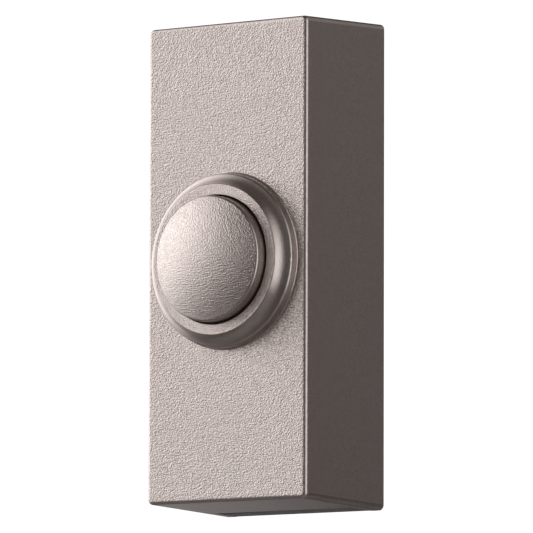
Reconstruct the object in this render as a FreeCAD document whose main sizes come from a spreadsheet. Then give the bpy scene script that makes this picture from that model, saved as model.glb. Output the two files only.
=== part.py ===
import FreeCAD, Part
import math
import os
import Sketcher

# Battery bell push: a drafted housing with a stepped bezel, a sprung domed cap and a wall plate.
# Origin at the centre of the back, on the wall. X to the right, Z up, the front looks along -Y.
# Depths are measured forward from the wall, so a depth of 5 lies at y = -5.

# Housing
face_width = 35.2
face_height = 86.0
body_depth = 23.7
side_draft = 0.4
end_draft = 2.3
corner_radius = 1.0
front_edge_radius = 0.75
wall = 1.8
inner_corner_radius = 0.8
# Bezel
ring_margin = 1.8
ring_rim_inset = 0.2
ring_rim_height = 1.7
ring_cove_width = 2.1
ring_step_height = 3.75
cove_radius = 3.5
ring_root = 0.9
ring_rim_round = 0.45
ring_step_round = 0.15
ring_base_fillet = 0.25
ring_inner_wall = 1.6
ring_outer_wall = 0.6
ring_core_rise = 0.1
ring_land = 1.9
bore_edge_round = 0.15
# Cap
cap_gap = 0.15
cap_taper = 0.2
cap_edge_height = 5.85
cap_edge_round = 0.5
dome_rise = 2.3
cap_wall = 1.3
flange_catch = 1.3
flange_thickness = 1.2
seat_gap = 0.05
cap_travel = 1.2
post_radius = 2.2
spring_pad_height = 1.6
spring_pad_land = 0.7
lug_width = 3.0
lug_length = 1.4
guide_play = 0.2
guide_thickness = 1.0
guide_length = 3.7
# Return spring
spring_radius = 6.0
spring_wire = 0.6
spring_turns = 5.0
touch_gap = 0.02
# Chassis
boss_length = 4.3
boss_radius = 2.3
boss_inset = 3.8
boss_drop = 3.7
pilot_radius = 0.85
pilot_depth = 3.6
chassis_thickness = 1.6
chassis_side_gap = 1.6
chassis_top_gap = 1.0
chassis_corner = 1.5
rim_thickness = 1.2
rim_height = 2.0
stop_ring_inset = 0.1
stop_ring_width = 1.8
collar_play = 0.35
collar_wall = 1.0
collar_height = 1.2
window_play = 0.3
screw_hole_radius = 1.2
# Board and switch
board_gap = 2.0
board_thickness = 1.6
board_side_gap = 1.7
board_top_gap = 8.2
board_to_bay = 1.0
board_corner = 1.0
board_screw_inset = 2.9
board_screw_drop = 3.4
board_post_radius = 2.2
pin_inset = 2.3
pin_z = 3.2
pin_shoulder_radius = 1.7
pin_radius = 0.9
pin_proud = 0.6
switch_width = 6.0
switch_base_height = 3.2
switch_cover_thickness = 0.3
stem_radius = 1.72
stem_height = 5.0
stem_travel = 0.3
stem_flange_radius = 2.3
stem_flange_thickness = 0.7
stem_play = 0.1
click_gap = 0.95
# Battery bay
bay_foot_gap = 0.75
bay_wall = 1.2
bay_end_wall = 1.0
bay_height = 8.5
bay_play = 0.25
saddle_play = 0.05
saddle_thickness = 1.2
saddle_inset = 6.0
finger_room = 8.0
battery_radius = 5.15
battery_length = 28.9
nub_radius = 1.9
nub_height = 1.0
contact_thickness = 0.3
contact_play = 0.05
coil_length = 2.2
coil_wire = 0.5
coil_radius = 3.2
strip_gap = 0.3
strip_width = 1.2
tail_length = 2.5
tail_half_width = 1.2
# Wall plate
plate_thickness = 2.0
plate_fit = 0.15
slot_z = 28.0
slot_radius = 2.1
slot_length = 8.0
notch_half_width = 15.0
notch_depth = 6.4
lip_depth = 6.2
lip_recess = 0.05
pry_reach = 7.0
pry_width = 1.9
hook_x = 8.0
hook_width = 4.4
hook_play = 0.3
hook_reach = 0.6
hook_start = 4.6
hook_length = 1.6
latch_width = 10.0
latch_thickness = 0.9
latch_reach = 9.8
barb_start = 8.6
barb_length = 1.0
barb_height = 0.6
stop_rib_z = 24.0
stop_rib_thickness = 1.0
stop_rib_reach = 1.2
# Screws
head_radius = 1.95
head_height = 1.3
shank_radius = 0.82
shank_length = 4.8
board_shank_length = 4.4
drive_depth = 0.7
# Switch legs and stem
pin_play = 0.05
leg_length = 0.9
leg_width = 0.7
leg_offset = 2.25
leg_thickness = 0.3
cover_hole_play = 0.08
stem_chamfer = 0.25
# Cell and contacts
can_round = 0.4
contact_half_width = 3.0
contact_edge = 1.0
coil_turns = 2.5
coil_taper = -20.0
# Transmitter chip
chip_x = 2.5
chip_z = 7.0
chip_length = 8.7
chip_width = 3.9
chip_height = 1.6
chip_lift = 0.15
lead_pitch = 1.27
lead_width = 0.42
lead_thickness = 0.22
lead_reach = 1.05
# Resonator, capacitors, resistors and antenna
resonator_x = 6.5
resonator_z = 15.5
resonator_radius = 4.1
resonator_flange = 0.5
resonator_height = 3.2
capacitor_x = 3.2
capacitor_z = 16.0
capacitor_radius = 2.5
capacitor_height = 6.8
crimp = 0.25
antenna_radius = 2.2
antenna_wire = 0.6
antenna_length = 12.0
antenna_turns = 7.0
antenna_drop = 7.0
small_x = 9.0
small_pitch = 3.0
small_start = 11.5
small_length = 2.0
small_width = 1.25
cap_chip_height = 0.9
resistor_height = 0.55
resistor_x = 10.4
resistor_pitch = 2.1
# Coding header
header_x = 5.0
header_z = 1.3
pin_pitch = 2.54
header_height = 2.5
header_pin = 0.64
header_pin_length = 8.0
jumper_height = 6.0
jumper_width = 2.3
jumper_play = 0.03
# Ledge and stiffeners of the wall plate
ledge_inset = 0.6
ledge_half_width = 12.0
stiffener_x = 11.0
stiffener_width = 1.2
stiffener_height = 1.4
stiffener_half_length = 34.0
# How far a cut or a buried end runs past the face it meets
past = 1.0

os.makedirs("parts", exist_ok=True)
doc = FreeCAD.newDocument("bell_push")
sheet = doc.addObject("Spreadsheet::Sheet", "Sizes")


class Size:
    """A length or angle kept both as a number and as the text of an expression."""

    def __init__(self, value, text):
        self.value = value
        self.text = text

    def __add__(self, other):
        other = as_size(other)
        return Size(self.value + other.value, "(" + self.text + " + " + other.text + ")")

    def __sub__(self, other):
        other = as_size(other)
        return Size(self.value - other.value, "(" + self.text + " - " + other.text + ")")

    def __mul__(self, other):
        other = as_size(other)
        return Size(self.value * other.value, "(" + self.text + " * " + other.text + ")")

    def __truediv__(self, other):
        other = as_size(other)
        return Size(self.value / other.value, "(" + self.text + " / " + other.text + ")")

    def __radd__(self, other):
        return as_size(other) + self

    def __rsub__(self, other):
        return as_size(other) - self

    def __rmul__(self, other):
        return as_size(other) * self

    def __neg__(self):
        return as_size(0) - self


def as_size(value):
    if isinstance(value, Size):
        return value
    return Size(float(value), repr(float(value)))


def slope(angle):
    return Size(math.tan(math.radians(angle.value)), "tan(" + angle.text + ")")


def root(size):
    return Size(math.sqrt(size.value), "sqrt(" + size.text + ")")


def named(row, alias, value):
    """Put a number into the sheet under its name."""
    sheet.set("A" + str(row), alias)
    sheet.set("B" + str(row), str(value))
    sheet.setAlias("B" + str(row), alias)
    return Size(value, "Sizes." + alias)


# From here on each name above stands for its cell in the sheet
numbers = [(alias, value) for alias, value in globals().items() if isinstance(value, float)]
for row, (alias, value) in enumerate(numbers, 1):
    globals()[alias] = named(row, alias, value)
doc.recompute()


class Drawing:
    """A sketch on one of a body's own planes, with every point tied to the sizes."""

    def __init__(self, body, name, plane, offset=0):
        base = [f for f in body.Origin.OriginFeatures if f.Role == plane][0]
        offset = as_size(offset)
        self.sketch = body.newObject("Sketcher::SketchObject", name)
        self.sketch.AttachmentSupport = [(base, "")]
        self.sketch.MapMode = "FlatFace"
        self.sketch.AttachmentOffset = FreeCAD.Placement(
            FreeCAD.Vector(0, 0, offset.value), FreeCAD.Rotation())
        self.sketch.setExpression("AttachmentOffset.Base.z", offset.text)
        self.ties = 0

    def tie(self, kind, *where, size):
        size = as_size(size)
        index = self.sketch.addConstraint(Sketcher.Constraint(kind, *where, size.value))
        self.ties += 1
        label = "tie" + str(self.ties)
        self.sketch.renameConstraint(index, label)
        self.sketch.setExpression("Constraints." + label, size.text)

    def place(self, item, end, x, y):
        self.tie("DistanceX", -1, 1, item, end, size=x)
        self.tie("DistanceY", -1, 1, item, end, size=y)

    def line(self, x0, y0, x1, y1):
        start = FreeCAD.Vector(as_size(x0).value, as_size(y0).value, 0)
        end = FreeCAD.Vector(as_size(x1).value, as_size(y1).value, 0)
        return self.sketch.addGeometry(Part.LineSegment(start, end))

    def arc(self, x, y, radius, first, last):
        centre = FreeCAD.Vector(as_size(x).value, as_size(y).value, 0)
        whole = Part.Circle(centre, FreeCAD.Vector(0, 0, 1), as_size(radius).value)
        return self.sketch.addGeometry(Part.ArcOfCircle(whole, math.radians(first), math.radians(last)))

    def circle(self, x, y, radius):
        centre = FreeCAD.Vector(as_size(x).value, as_size(y).value, 0)
        item = self.sketch.addGeometry(Part.Circle(centre, FreeCAD.Vector(0, 0, 1), as_size(radius).value))
        self.place(item, 3, x, y)
        self.tie("Radius", item, size=radius)
        return self

    def outline(self, points, arcs=None):
        """Closed outline. arcs gives, for a side by number, its radius and bulge (1 left, -1 right)."""
        arcs = arcs or {}
        ends = []
        count = len(points)
        for side in range(count):
            x0, y0 = [as_size(v) for v in points[side]]
            x1, y1 = [as_size(v) for v in points[(side + 1) % count]]
            if side not in arcs:
                ends.append((self.line(x0, y0, x1, y1), 1, 2))
                continue
            radius, bulge = arcs[side]
            start = FreeCAD.Vector(x0.value, y0.value, 0)
            finish = FreeCAD.Vector(x1.value, y1.value, 0)
            chord = finish - start
            across = FreeCAD.Vector(-chord.y, chord.x, 0).normalize()
            drop = math.sqrt(as_size(radius).value ** 2 - (chord.Length / 2) ** 2)
            centre = start + chord * 0.5 - across * (bulge * drop)
            a = math.degrees(math.atan2(start.y - centre.y, start.x - centre.x))
            b = math.degrees(math.atan2(finish.y - centre.y, finish.x - centre.x))
            if bulge > 0:
                item = self.arc(centre.x, centre.y, radius, b, a if a > b else a + 360)
                ends.append((item, 2, 1))
            else:
                item = self.arc(centre.x, centre.y, radius, a, b if b > a else b + 360)
                ends.append((item, 1, 2))
        for side in range(count):
            item, first, last = ends[side]
            after, after_first, after_last = ends[(side + 1) % count]
            self.sketch.addConstraint(Sketcher.Constraint("Coincident", item, last, after, after_first))
        for side in range(count):
            item, first, last = ends[side]
            self.place(item, first, points[side][0], points[side][1])
        for side, (radius, bulge) in arcs.items():
            self.tie("Radius", ends[side][0], size=radius)
        return self

    def rectangle(self, x0, x1, y0, y1):
        return self.outline([(x0, y0), (x1, y0), (x1, y1), (x0, y1)])

    def rounded(self, x0, x1, y0, y1, radius):
        x0, x1, y0, y1, radius = [as_size(v) for v in (x0, x1, y0, y1, radius)]
        corners = [(x1 - radius, y0 + radius, 270), (x1 - radius, y1 - radius, 0),
                   (x0 + radius, y1 - radius, 90), (x0 + radius, y0 + radius, 180)]
        arcs = [self.arc(x, y, radius, turn, turn + 90) for x, y, turn in corners]
        sides = [self.line(x1, y0 + radius, x1, y1 - radius), self.line(x1 - radius, y1, x0 + radius, y1),
                 self.line(x0, y1 - radius, x0, y0 + radius), self.line(x0 + radius, y0, x1 - radius, y0)]
        for k in range(4):
            self.sketch.addConstraint(Sketcher.Constraint("Tangent", arcs[k], 2, sides[k], 1))
            self.sketch.addConstraint(Sketcher.Constraint("Tangent", sides[k], 2, arcs[(k + 1) % 4], 1))
        for k in range(4):
            self.place(arcs[k], 3, corners[k][0], corners[k][1])
            self.tie("Radius", arcs[k], size=radius)
        return self

    def slot(self, x, y0, y1, radius):
        """Upright slot whose end centres lie at y0 and y1."""
        x, y0, y1, radius = [as_size(v) for v in (x, y0, y1, radius)]
        top = self.arc(x, y1, radius, 0, 180)
        low = self.arc(x, y0, radius, 180, 360)
        left = self.line(x - radius, y1, x - radius, y0)
        right = self.line(x + radius, y0, x + radius, y1)
        self.sketch.addConstraint(Sketcher.Constraint("Tangent", top, 2, left, 1))
        self.sketch.addConstraint(Sketcher.Constraint("Tangent", left, 2, low, 1))
        self.sketch.addConstraint(Sketcher.Constraint("Tangent", low, 2, right, 1))
        self.sketch.addConstraint(Sketcher.Constraint("Tangent", right, 2, top, 1))
        for item, y in ((top, y1), (low, y0)):
            self.place(item, 3, x, y)
            self.tie("Radius", item, size=radius)
        return self


def new_body(name):
    body = doc.addObject("PartDesign::Body", name + "_body")
    body.Label = name
    return body


def set_values(item, values):
    for key, value in values.items():
        if isinstance(value, Size):
            setattr(item, key, value.value)
            item.setExpression(key, value.text)
        else:
            setattr(item, key, value)


def shape_from(body, kind, name, drawing, **values):
    item = body.newObject("PartDesign::" + kind, name)
    item.Profile = drawing.sketch
    set_values(item, values)
    return item


def turn(body, kind, name, drawing, axis="V_Axis", **values):
    """Turn a drawing about one of its own axes: a full turn, or a coil."""
    item = body.newObject("PartDesign::" + kind, name)
    item.Profile = drawing.sketch
    item.ReferenceAxis = (drawing.sketch, [axis])
    set_values(item, values)
    return item


def soften(body, name, before, radius, wanted):
    """Round the edges of the feature before that the test wanted picks."""
    doc.recompute()
    edges = before.Shape.Edges
    names = ["Edge" + str(i + 1) for i in range(len(edges)) if wanted(edges[i])]
    item = body.newObject("PartDesign::Fillet", name)
    item.Base = (before, names)
    set_values(item, {"Radius": radius})
    return item


def circle_at(radius, depth):
    """Test for a full circle about the cap's axis."""
    def wanted(edge):
        if edge.Degenerated or not isinstance(edge.Curve, Part.Circle):
            return False
        centre = edge.Curve.Center
        near_axis = math.hypot(centre.x, centre.z) < 0.01
        right_size = abs(edge.Curve.Radius - radius.value) < 0.01
        return near_axis and right_size and abs(centre.y + depth.value) < 0.01
    return wanted


def block(name, x, y, z, dx, dy, dz):
    """Box by its low corner and its sizes."""
    item = doc.addObject("Part::Box", name)
    set_values(item, {"Length": as_size(dx), "Width": as_size(dy), "Height": as_size(dz)})
    corner = [as_size(v) for v in (x, y, z)]
    item.Placement = FreeCAD.Placement(FreeCAD.Vector(*[v.value for v in corner]), FreeCAD.Rotation())
    for axis, v in zip("xyz", corner):
        item.setExpression("Placement.Base." + axis, v.text)
    return item


def group(name, items):
    item = doc.addObject("Part::Compound", name + "_group")
    item.Links = items
    item.Label = name
    return item


def mirrored(name, source, normal):
    item = doc.addObject("Part::Mirroring", name)
    item.Source = source
    item.Normal = normal
    return item


def put(body, x, y, z):
    """Move a body that was drawn about its own axis to its place."""
    corner = [as_size(v) for v in (x, y, z)]
    body.Placement = FreeCAD.Placement(FreeCAD.Vector(*[v.value for v in corner]), FreeCAD.Rotation())
    for axis, v in zip("xyz", corner):
        body.setExpression("Placement.Base." + axis, v.text)


def outer_half_width(depth):
    return face_width / 2 + (body_depth - depth) * slope(side_draft)


def outer_half_height(depth):
    return face_height / 2 + (body_depth - depth) * slope(end_draft)


def inner_half_width(depth):
    return outer_half_width(depth) - wall


def inner_half_height(depth):
    return outer_half_height(depth) - wall


# Radii of the bezel and the cap, each taken from the one outside it
ring_base_radius = face_width / 2 - ring_margin
ring_rim_radius = ring_base_radius - ring_rim_inset
ring_step_radius = ring_rim_radius - ring_cove_width
bore_radius = ring_step_radius - ring_land
ring_core_inner = bore_radius + ring_inner_wall
ring_core_outer = ring_base_radius - ring_outer_wall
cap_radius = bore_radius - cap_gap
cap_top_radius = cap_radius - cap_taper
flange_radius = bore_radius + flange_catch
lug_reach = flange_radius + lug_length
stop_ring_outer = flange_radius - stop_ring_inset
stop_ring_inner = stop_ring_outer - stop_ring_width
# Chassis and board, taken from the housing they fit into
chassis_half_width = face_width / 2 - wall - chassis_side_gap
chassis_top = face_height / 2 - wall - chassis_top_gap
boss_x = chassis_half_width - boss_inset
boss_z = chassis_top - boss_drop
board_half_width = chassis_half_width - board_side_gap
board_top = chassis_top - board_top_gap
board_screw_x = board_half_width - board_screw_inset
board_screw_z = board_top - board_screw_drop
pin_x = board_half_width - pin_inset
antenna_z = board_top - antenna_drop
bay_length = (bay_end_wall + contact_thickness) * 2 + contact_play * 5 + battery_length + coil_length
bay_top = face_height / 2 - wall - bay_foot_gap - bay_length
# Depths that several pieces share, each measured forward from the wall
inner_front = body_depth - wall
step_front = body_depth + ring_step_height
flange_front = inner_front - seat_gap
flange_rear = flange_front - flange_thickness
chassis_front = inner_front - boss_length
chassis_rear = chassis_front - chassis_thickness
board_front = chassis_rear - board_gap
board_rear = board_front - board_thickness
stem_tip = board_front + stem_height
post_tip = stem_tip + click_gap
crown = body_depth + cap_edge_height + dome_rise
spring_pad = crown - cap_wall - spring_pad_height
battery_axis = chassis_rear - bay_play - battery_radius
# Heights of the battery bay, from the middle of the part downward
bay_inner_top = bay_top + bay_end_wall
nub_tip = bay_inner_top + contact_play + contact_thickness + contact_play
battery_foot = nub_tip + battery_length
coil_foot = battery_foot + contact_play + coil_length
sheet_foot = coil_foot + contact_play + contact_thickness
bay_inner_bottom = sheet_foot + contact_play
bay_bottom = bay_inner_bottom + bay_end_wall
bay_half_width = battery_radius + bay_play
board_bottom = bay_top - board_to_bay

# Front housing: one moulding, drafted toward the front
body = new_body("front_housing")
w0, h0 = outer_half_width(0), outer_half_height(0)
back = Drawing(body, "back_outline", "XZ_Plane").rounded(-w0, w0, -h0, h0, corner_radius)
w1, h1 = face_width / 2, face_height / 2
front = Drawing(body, "front_outline", "XZ_Plane", body_depth).rounded(-w1, w1, -h1, h1, corner_radius)
shell = shape_from(body, "AdditiveLoft", "drafted_block", back, Sections=[front.sketch], Ruled=True)


def on_face(edge):
    box = edge.BoundBox
    return abs(box.YMin + body_depth.value) < 0.001 and abs(box.YMax + body_depth.value) < 0.001


soften(body, "front_edges", shell, front_edge_radius, on_face)

rim_front = body_depth + ring_rim_height
inside = bore_radius - past
ring = Drawing(body, "bezel_section", "XY_Plane").outline(
    [(inside, -(body_depth - ring_root)), (ring_base_radius, -(body_depth - ring_root)),
     (ring_base_radius, -body_depth), (ring_rim_radius, -rim_front), (ring_step_radius, -step_front),
     (inside, -step_front)],
    {3: (cove_radius, -1)})
bezel = turn(body, "Revolution", "bezel", ring)

wb, hb = inner_half_width(0), inner_half_height(0)
wf, hf = inner_half_width(inner_front), inner_half_height(inner_front)
rear_edge = Drawing(body, "cavity_rear", "XZ_Plane").rounded(-wb, wb, -hb, hb, inner_corner_radius)
cavity_end = Drawing(body, "cavity_front", "XZ_Plane", inner_front).rounded(
    -wf, wf, -hf, hf, inner_corner_radius)
shape_from(body, "SubtractiveLoft", "cavity", rear_edge, Sections=[cavity_end.sketch], Ruled=True)

hole = Drawing(body, "bore_section", "XY_Plane").rectangle(
    0, bore_radius, -(step_front + past), -(inner_front - past))
bored = turn(body, "Groove", "bore", hole)
rounds = soften(body, "rim_round", bored, ring_rim_round, circle_at(ring_rim_radius, rim_front))
rounds = soften(body, "step_round", rounds, ring_step_round, circle_at(ring_step_radius, step_front))
rounds = soften(body, "bore_round", rounds, bore_edge_round, circle_at(bore_radius, step_front))
rounds = soften(body, "base_fillet", rounds, ring_base_fillet, circle_at(ring_base_radius, body_depth))

core = Drawing(body, "bezel_core_section", "XY_Plane").rectangle(
    ring_core_inner, ring_core_outer, -(body_depth + ring_core_rise), -(inner_front - past))
turn(body, "Groove", "bezel_core", core)

bosses = Drawing(body, "boss_circles", "XZ_Plane", chassis_front)
pilots = Drawing(body, "pilot_circles", "XZ_Plane", chassis_front)
for sx in (-1, 1):
    for sz in (-1, 1):
        bosses.circle(boss_x * sx, boss_z * sz, boss_radius)
        pilots.circle(boss_x * sx, boss_z * sz, pilot_radius)
shape_from(body, "Pad", "chassis_bosses", bosses, Length=boss_length + wall / 2)
shape_from(body, "Pocket", "chassis_pilots", pilots, Length=pilot_depth, Reversed=True)

guides = Drawing(body, "guide_ribs_section", "XZ_Plane", inner_front - guide_length)
guide_gap = lug_width / 2 + guide_play
for sx in (-1, 1):
    for sz in (-1, 1):
        near = flange_radius + guide_play + guide_play / 2
        far = inner_half_width(inner_front) + wall / 2
        guides.rectangle(near * sx, far * sx, guide_gap * sz, (guide_gap + guide_thickness) * sz)
shape_from(body, "Pad", "guide_ribs", guides, Length=guide_length + wall / 2)

ribs = Drawing(body, "stop_ribs_section", "XZ_Plane", plate_thickness + seat_gap)
for sx in (-1, 1):
    for sz in (-1, 1):
        near = inner_half_width(inner_front) - stop_rib_reach
        far = outer_half_width(body_depth) - wall / 2
        low, high = stop_rib_z - stop_rib_thickness / 2, stop_rib_z + stop_rib_thickness / 2
        ribs.rectangle(near * sx, far * sx, low * sz, high * sz)
shape_from(body, "Pad", "stop_ribs", ribs, Length=inner_front + wall / 2 - plate_thickness - seat_gap)

recess_start = hook_start - hook_play
recess_length = hook_length + hook_play * 2
recess_z = inner_half_height(hook_start)
hooks_in = Drawing(body, "hook_recess_section", "XZ_Plane", recess_start)
half = hook_width / 2 + hook_play
top = recess_z + hook_reach + hook_play
for sx in (-1, 1):
    hooks_in.rectangle(hook_x * sx - half, hook_x * sx + half, recess_z - past, top)
shape_from(body, "Pocket", "hook_recesses", hooks_in, Length=recess_length, Reversed=True)

notch = Drawing(body, "notch_section", "XZ_Plane").rectangle(
    -notch_half_width, notch_half_width, -(outer_half_height(0) + past), -(face_height / 2 - wall))
shape_from(body, "Pocket", "notch", notch, Length=notch_depth, Reversed=True)

barb_z = inner_half_height(barb_start)
half = latch_width / 2 + hook_play
barb_room = Drawing(body, "barb_recess_section", "XZ_Plane", barb_start - hook_play).rectangle(
    -half, half, -(barb_z + barb_height + hook_play / 2), -(barb_z - past))
shape_from(body, "Pocket", "barb_recess", barb_room, Length=barb_length + hook_play * 2, Reversed=True)
front_housing = body

# Push cap: domed cup with a retaining flange, two guide lugs and a post for the switch
body = new_body("push_cap")
skirt_inner = cap_radius - cap_wall
edge_front = body_depth + cap_edge_height
dome_radius = (cap_top_radius * cap_top_radius + dome_rise * dome_rise) / (dome_rise * 2)
dome_centre = crown - dome_radius
inner_dome = dome_radius - cap_wall
spring_pad_radius = spring_radius + spring_wire / 2 + spring_pad_land
under_skirt = dome_centre + root(inner_dome * inner_dome - skirt_inner * skirt_inner)
under_pad = dome_centre + root(inner_dome * inner_dome - spring_pad_radius * spring_pad_radius)
section = Drawing(body, "cap_section", "XY_Plane").outline(
    [(0, -crown), (0, -post_tip), (post_radius, -post_tip), (post_radius, -spring_pad),
     (spring_pad_radius, -spring_pad), (spring_pad_radius, -under_pad), (skirt_inner, -under_skirt),
     (skirt_inner, -flange_rear), (flange_radius, -flange_rear), (flange_radius, -flange_front),
     (cap_radius, -flange_front), (cap_top_radius, -edge_front)],
    {5: (inner_dome, -1), 11: (dome_radius, 1)})
cup = turn(body, "Revolution", "cap_cup", section)
cup = soften(body, "cap_edge", cup, cap_edge_round, circle_at(cap_top_radius, edge_front))
lugs = Drawing(body, "lug_section", "XZ_Plane", flange_rear)
for sx in (-1, 1):
    lugs.rectangle((flange_radius - past) * sx, lug_reach * sx, -lug_width / 2, lug_width / 2)
shape_from(body, "Pad", "lugs", lugs, Length=flange_thickness)
push_cap = body

# Return spring, between the chassis and the pad under the dome
body = new_body("return_spring")
coil_start = spring_pad - spring_wire / 2 - touch_gap
wire = Drawing(body, "wire", "XY_Plane").circle(spring_radius, -coil_start, spring_wire / 2)
coil_height = spring_pad - chassis_front - spring_wire - touch_gap * 2
turn(body, "AdditiveHelix", "coil", wire, Mode=2, Height=coil_height, Turns=spring_turns)
return_spring = body

# Inner chassis: plate behind the cap with the stop ring in front and the battery bay behind
body = new_body("inner_chassis")
plate = Drawing(body, "plate_outline", "XZ_Plane", chassis_rear).rounded(
    -chassis_half_width, chassis_half_width, -bay_bottom, chassis_top, chassis_corner)
shape_from(body, "Pad", "plate", plate, Length=chassis_thickness)
stop = Drawing(body, "stop_ring_section", "XZ_Plane", chassis_front)
stop.circle(0, 0, stop_ring_outer).circle(0, 0, stop_ring_inner)
stop_height = flange_rear - cap_travel - seat_gap - chassis_front
shape_from(body, "Pad", "stop_ring", stop, Length=stop_height)
collar_inner = spring_radius + spring_wire / 2 + collar_play
collar = Drawing(body, "collar_section", "XZ_Plane", chassis_front)
collar.circle(0, 0, collar_inner + collar_wall).circle(0, 0, collar_inner)
shape_from(body, "Pad", "spring_collar", collar, Length=collar_height)
rim = Drawing(body, "rim_section", "XZ_Plane", chassis_rear - rim_height)
rim.rounded(-chassis_half_width, chassis_half_width, -bay_bottom, chassis_top, chassis_corner)
rim.rounded(rim_thickness - chassis_half_width, chassis_half_width - rim_thickness,
            -bay_inner_bottom, chassis_top - rim_thickness, chassis_corner / 2)
shape_from(body, "Pad", "rear_rim", rim, Length=rim_height)
bay_outer = bay_half_width + bay_wall
bay = Drawing(body, "bay_section", "XZ_Plane", chassis_rear - bay_height)
bay.rectangle(-bay_outer, bay_outer, -bay_bottom, -bay_top)
bay.rectangle(-bay_half_width, bay_half_width, -bay_inner_bottom, -bay_inner_top)
shape_from(body, "Pad", "battery_bay", bay, Length=bay_height)
saddle_radius = battery_radius + saddle_play
saddle_top = battery_axis + battery_radius / 2
saddle_half = bay_half_width + bay_wall / 2
saddle_side = root(saddle_radius * saddle_radius - battery_radius * battery_radius / 4)
saddle_floor = chassis_rear + chassis_thickness / 2
for k, height in ((1, nub_tip + saddle_inset), (2, battery_foot - saddle_inset)):
    saddle = Drawing(body, "saddle_section_" + str(k), "XY_Plane", -height).outline(
        [(-saddle_half, -saddle_floor), (saddle_half, -saddle_floor), (saddle_half, -saddle_top),
         (saddle_side, -saddle_top), (-saddle_side, -saddle_top), (-saddle_half, -saddle_top)],
        {3: (saddle_radius, 1)})
    shape_from(body, "Pad", "saddle_" + str(k), saddle, Length=saddle_thickness)
relief = Drawing(body, "finger_relief_section", "XZ_Plane", chassis_rear - bay_height)
middle = (nub_tip + battery_foot) / 2
for sx in (-1, 1):
    relief.rectangle((bay_half_width - past) * sx, (bay_outer + past) * sx,
                     -(middle + finger_room / 2), -(middle - finger_room / 2))
shape_from(body, "Pocket", "finger_relief", relief, Length=bay_height / 2, Reversed=True)
posts = Drawing(body, "board_posts_section", "XZ_Plane", board_front)
shoulders = Drawing(body, "pin_shoulders_section", "XZ_Plane", board_front)
pins = Drawing(body, "pins_section", "XZ_Plane", board_rear - pin_proud)
post_holes = Drawing(body, "post_pilots_section", "XZ_Plane", board_front)
for sx in (-1, 1):
    posts.circle(board_screw_x * sx, board_screw_z, board_post_radius)
    shoulders.circle(pin_x * sx, -pin_z, pin_shoulder_radius)
    pins.circle(pin_x * sx, -pin_z, pin_radius)
    post_holes.circle(board_screw_x * sx, board_screw_z, pilot_radius)
shape_from(body, "Pad", "board_posts", posts, Length=board_gap)
shape_from(body, "Pad", "pin_shoulders", shoulders, Length=board_gap)
shape_from(body, "Pad", "pins", pins, Length=board_thickness + pin_proud + board_gap / 2)
shape_from(body, "Pocket", "post_pilots", post_holes, Length=board_gap + chassis_thickness, Reversed=True)
window_half = switch_width / 2 + window_play
openings = Drawing(body, "holes_section", "XZ_Plane", chassis_rear)
openings.rectangle(-window_half, window_half, -window_half, window_half)
for sx in (-1, 1):
    for sz in (-1, 1):
        openings.circle(boss_x * sx, boss_z * sz, screw_hole_radius)
shape_from(body, "Pocket", "window_and_holes", openings, Length=chassis_thickness, Reversed=True)
tail_room = Drawing(body, "tail_notch_section", "XZ_Plane", chassis_rear - bay_height)
tail_room.rectangle(-(tail_half_width + contact_play * 2), tail_half_width + contact_play * 2,
                    -(bay_inner_top + past), -(bay_top - past))
shape_from(body, "Pocket", "tail_notch", tail_room,
           Length=bay_height - chassis_rear + board_rear + contact_play * 2, Reversed=True)
strip_start = bay_outer + strip_gap
link_room = Drawing(body, "link_notch_section", "XZ_Plane", chassis_rear - bay_height)
link_room.rectangle(bay_half_width - past, bay_outer + past, -bay_inner_bottom, -(coil_foot - contact_play))
shape_from(body, "Pocket", "link_notch", link_room, Length=bay_height, Reversed=True)
inner_chassis = body


def pan_screw(name, drive_depth, head_radius, head_height, shank_radius, shank_length):
    """Pan head self-tapping screw about its own axis, head toward the wall, cross recess in the head."""
    screw = new_body(name)
    neck = head_radius / 2
    shape = Drawing(screw, name + "_section", "XY_Plane").outline(
        [(0, head_height), (0, -shank_length), (shank_radius / 4, -shank_length),
         (shank_radius, -(shank_length - shank_radius * 1.5)), (shank_radius, 0), (head_radius, 0),
         (head_radius, head_height / 3), (neck, head_height)])
    turn(screw, "Revolution", name + "_turned", shape)
    arm, blade = head_radius * 0.55, head_radius * 0.12
    cross = Drawing(screw, name + "_cross", "XZ_Plane", drive_depth - head_height)
    cross.outline([(blade, blade), (arm, blade), (arm, -blade), (blade, -blade), (blade, -arm),
                   (-blade, -arm), (-blade, -blade), (-arm, -blade), (-arm, blade), (-blade, blade),
                   (-blade, arm), (blade, arm)])
    shape_from(screw, "Pocket", name + "_recess", cross, Length=head_height)
    return screw


first = pan_screw("chassis_screw", drive_depth, head_radius, head_height, shank_radius, shank_length)
put(first, boss_x, -chassis_rear, boss_z)
across = mirrored("chassis_screw_left", first, FreeCAD.Vector(1, 0, 0))
lower_right = mirrored("chassis_screw_low", first, FreeCAD.Vector(0, 0, 1))
lower_left = mirrored("chassis_screw_low_left", across, FreeCAD.Vector(0, 0, 1))
chassis_screws = group("chassis_screws", [first, across, lower_right, lower_left])

first = pan_screw("board_screw", drive_depth, head_radius, head_height, shank_radius, board_shank_length)
put(first, board_screw_x, -board_rear, board_screw_z)
across = mirrored("board_screw_left", first, FreeCAD.Vector(1, 0, 0))
board_screws = group("board_screws", [first, across])

# Circuit board
body = new_body("circuit_board")
board = Drawing(body, "board_outline", "XZ_Plane", board_rear)
board.rounded(-board_half_width, board_half_width, -board_bottom, board_top, board_corner)
for sx in (-1, 1):
    board.circle(board_screw_x * sx, board_screw_z, screw_hole_radius)
    board.circle(pin_x * sx, -pin_z, pin_radius + pin_play)
shape_from(body, "Pad", "board", board, Length=board_thickness)
circuit_board = body

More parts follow.
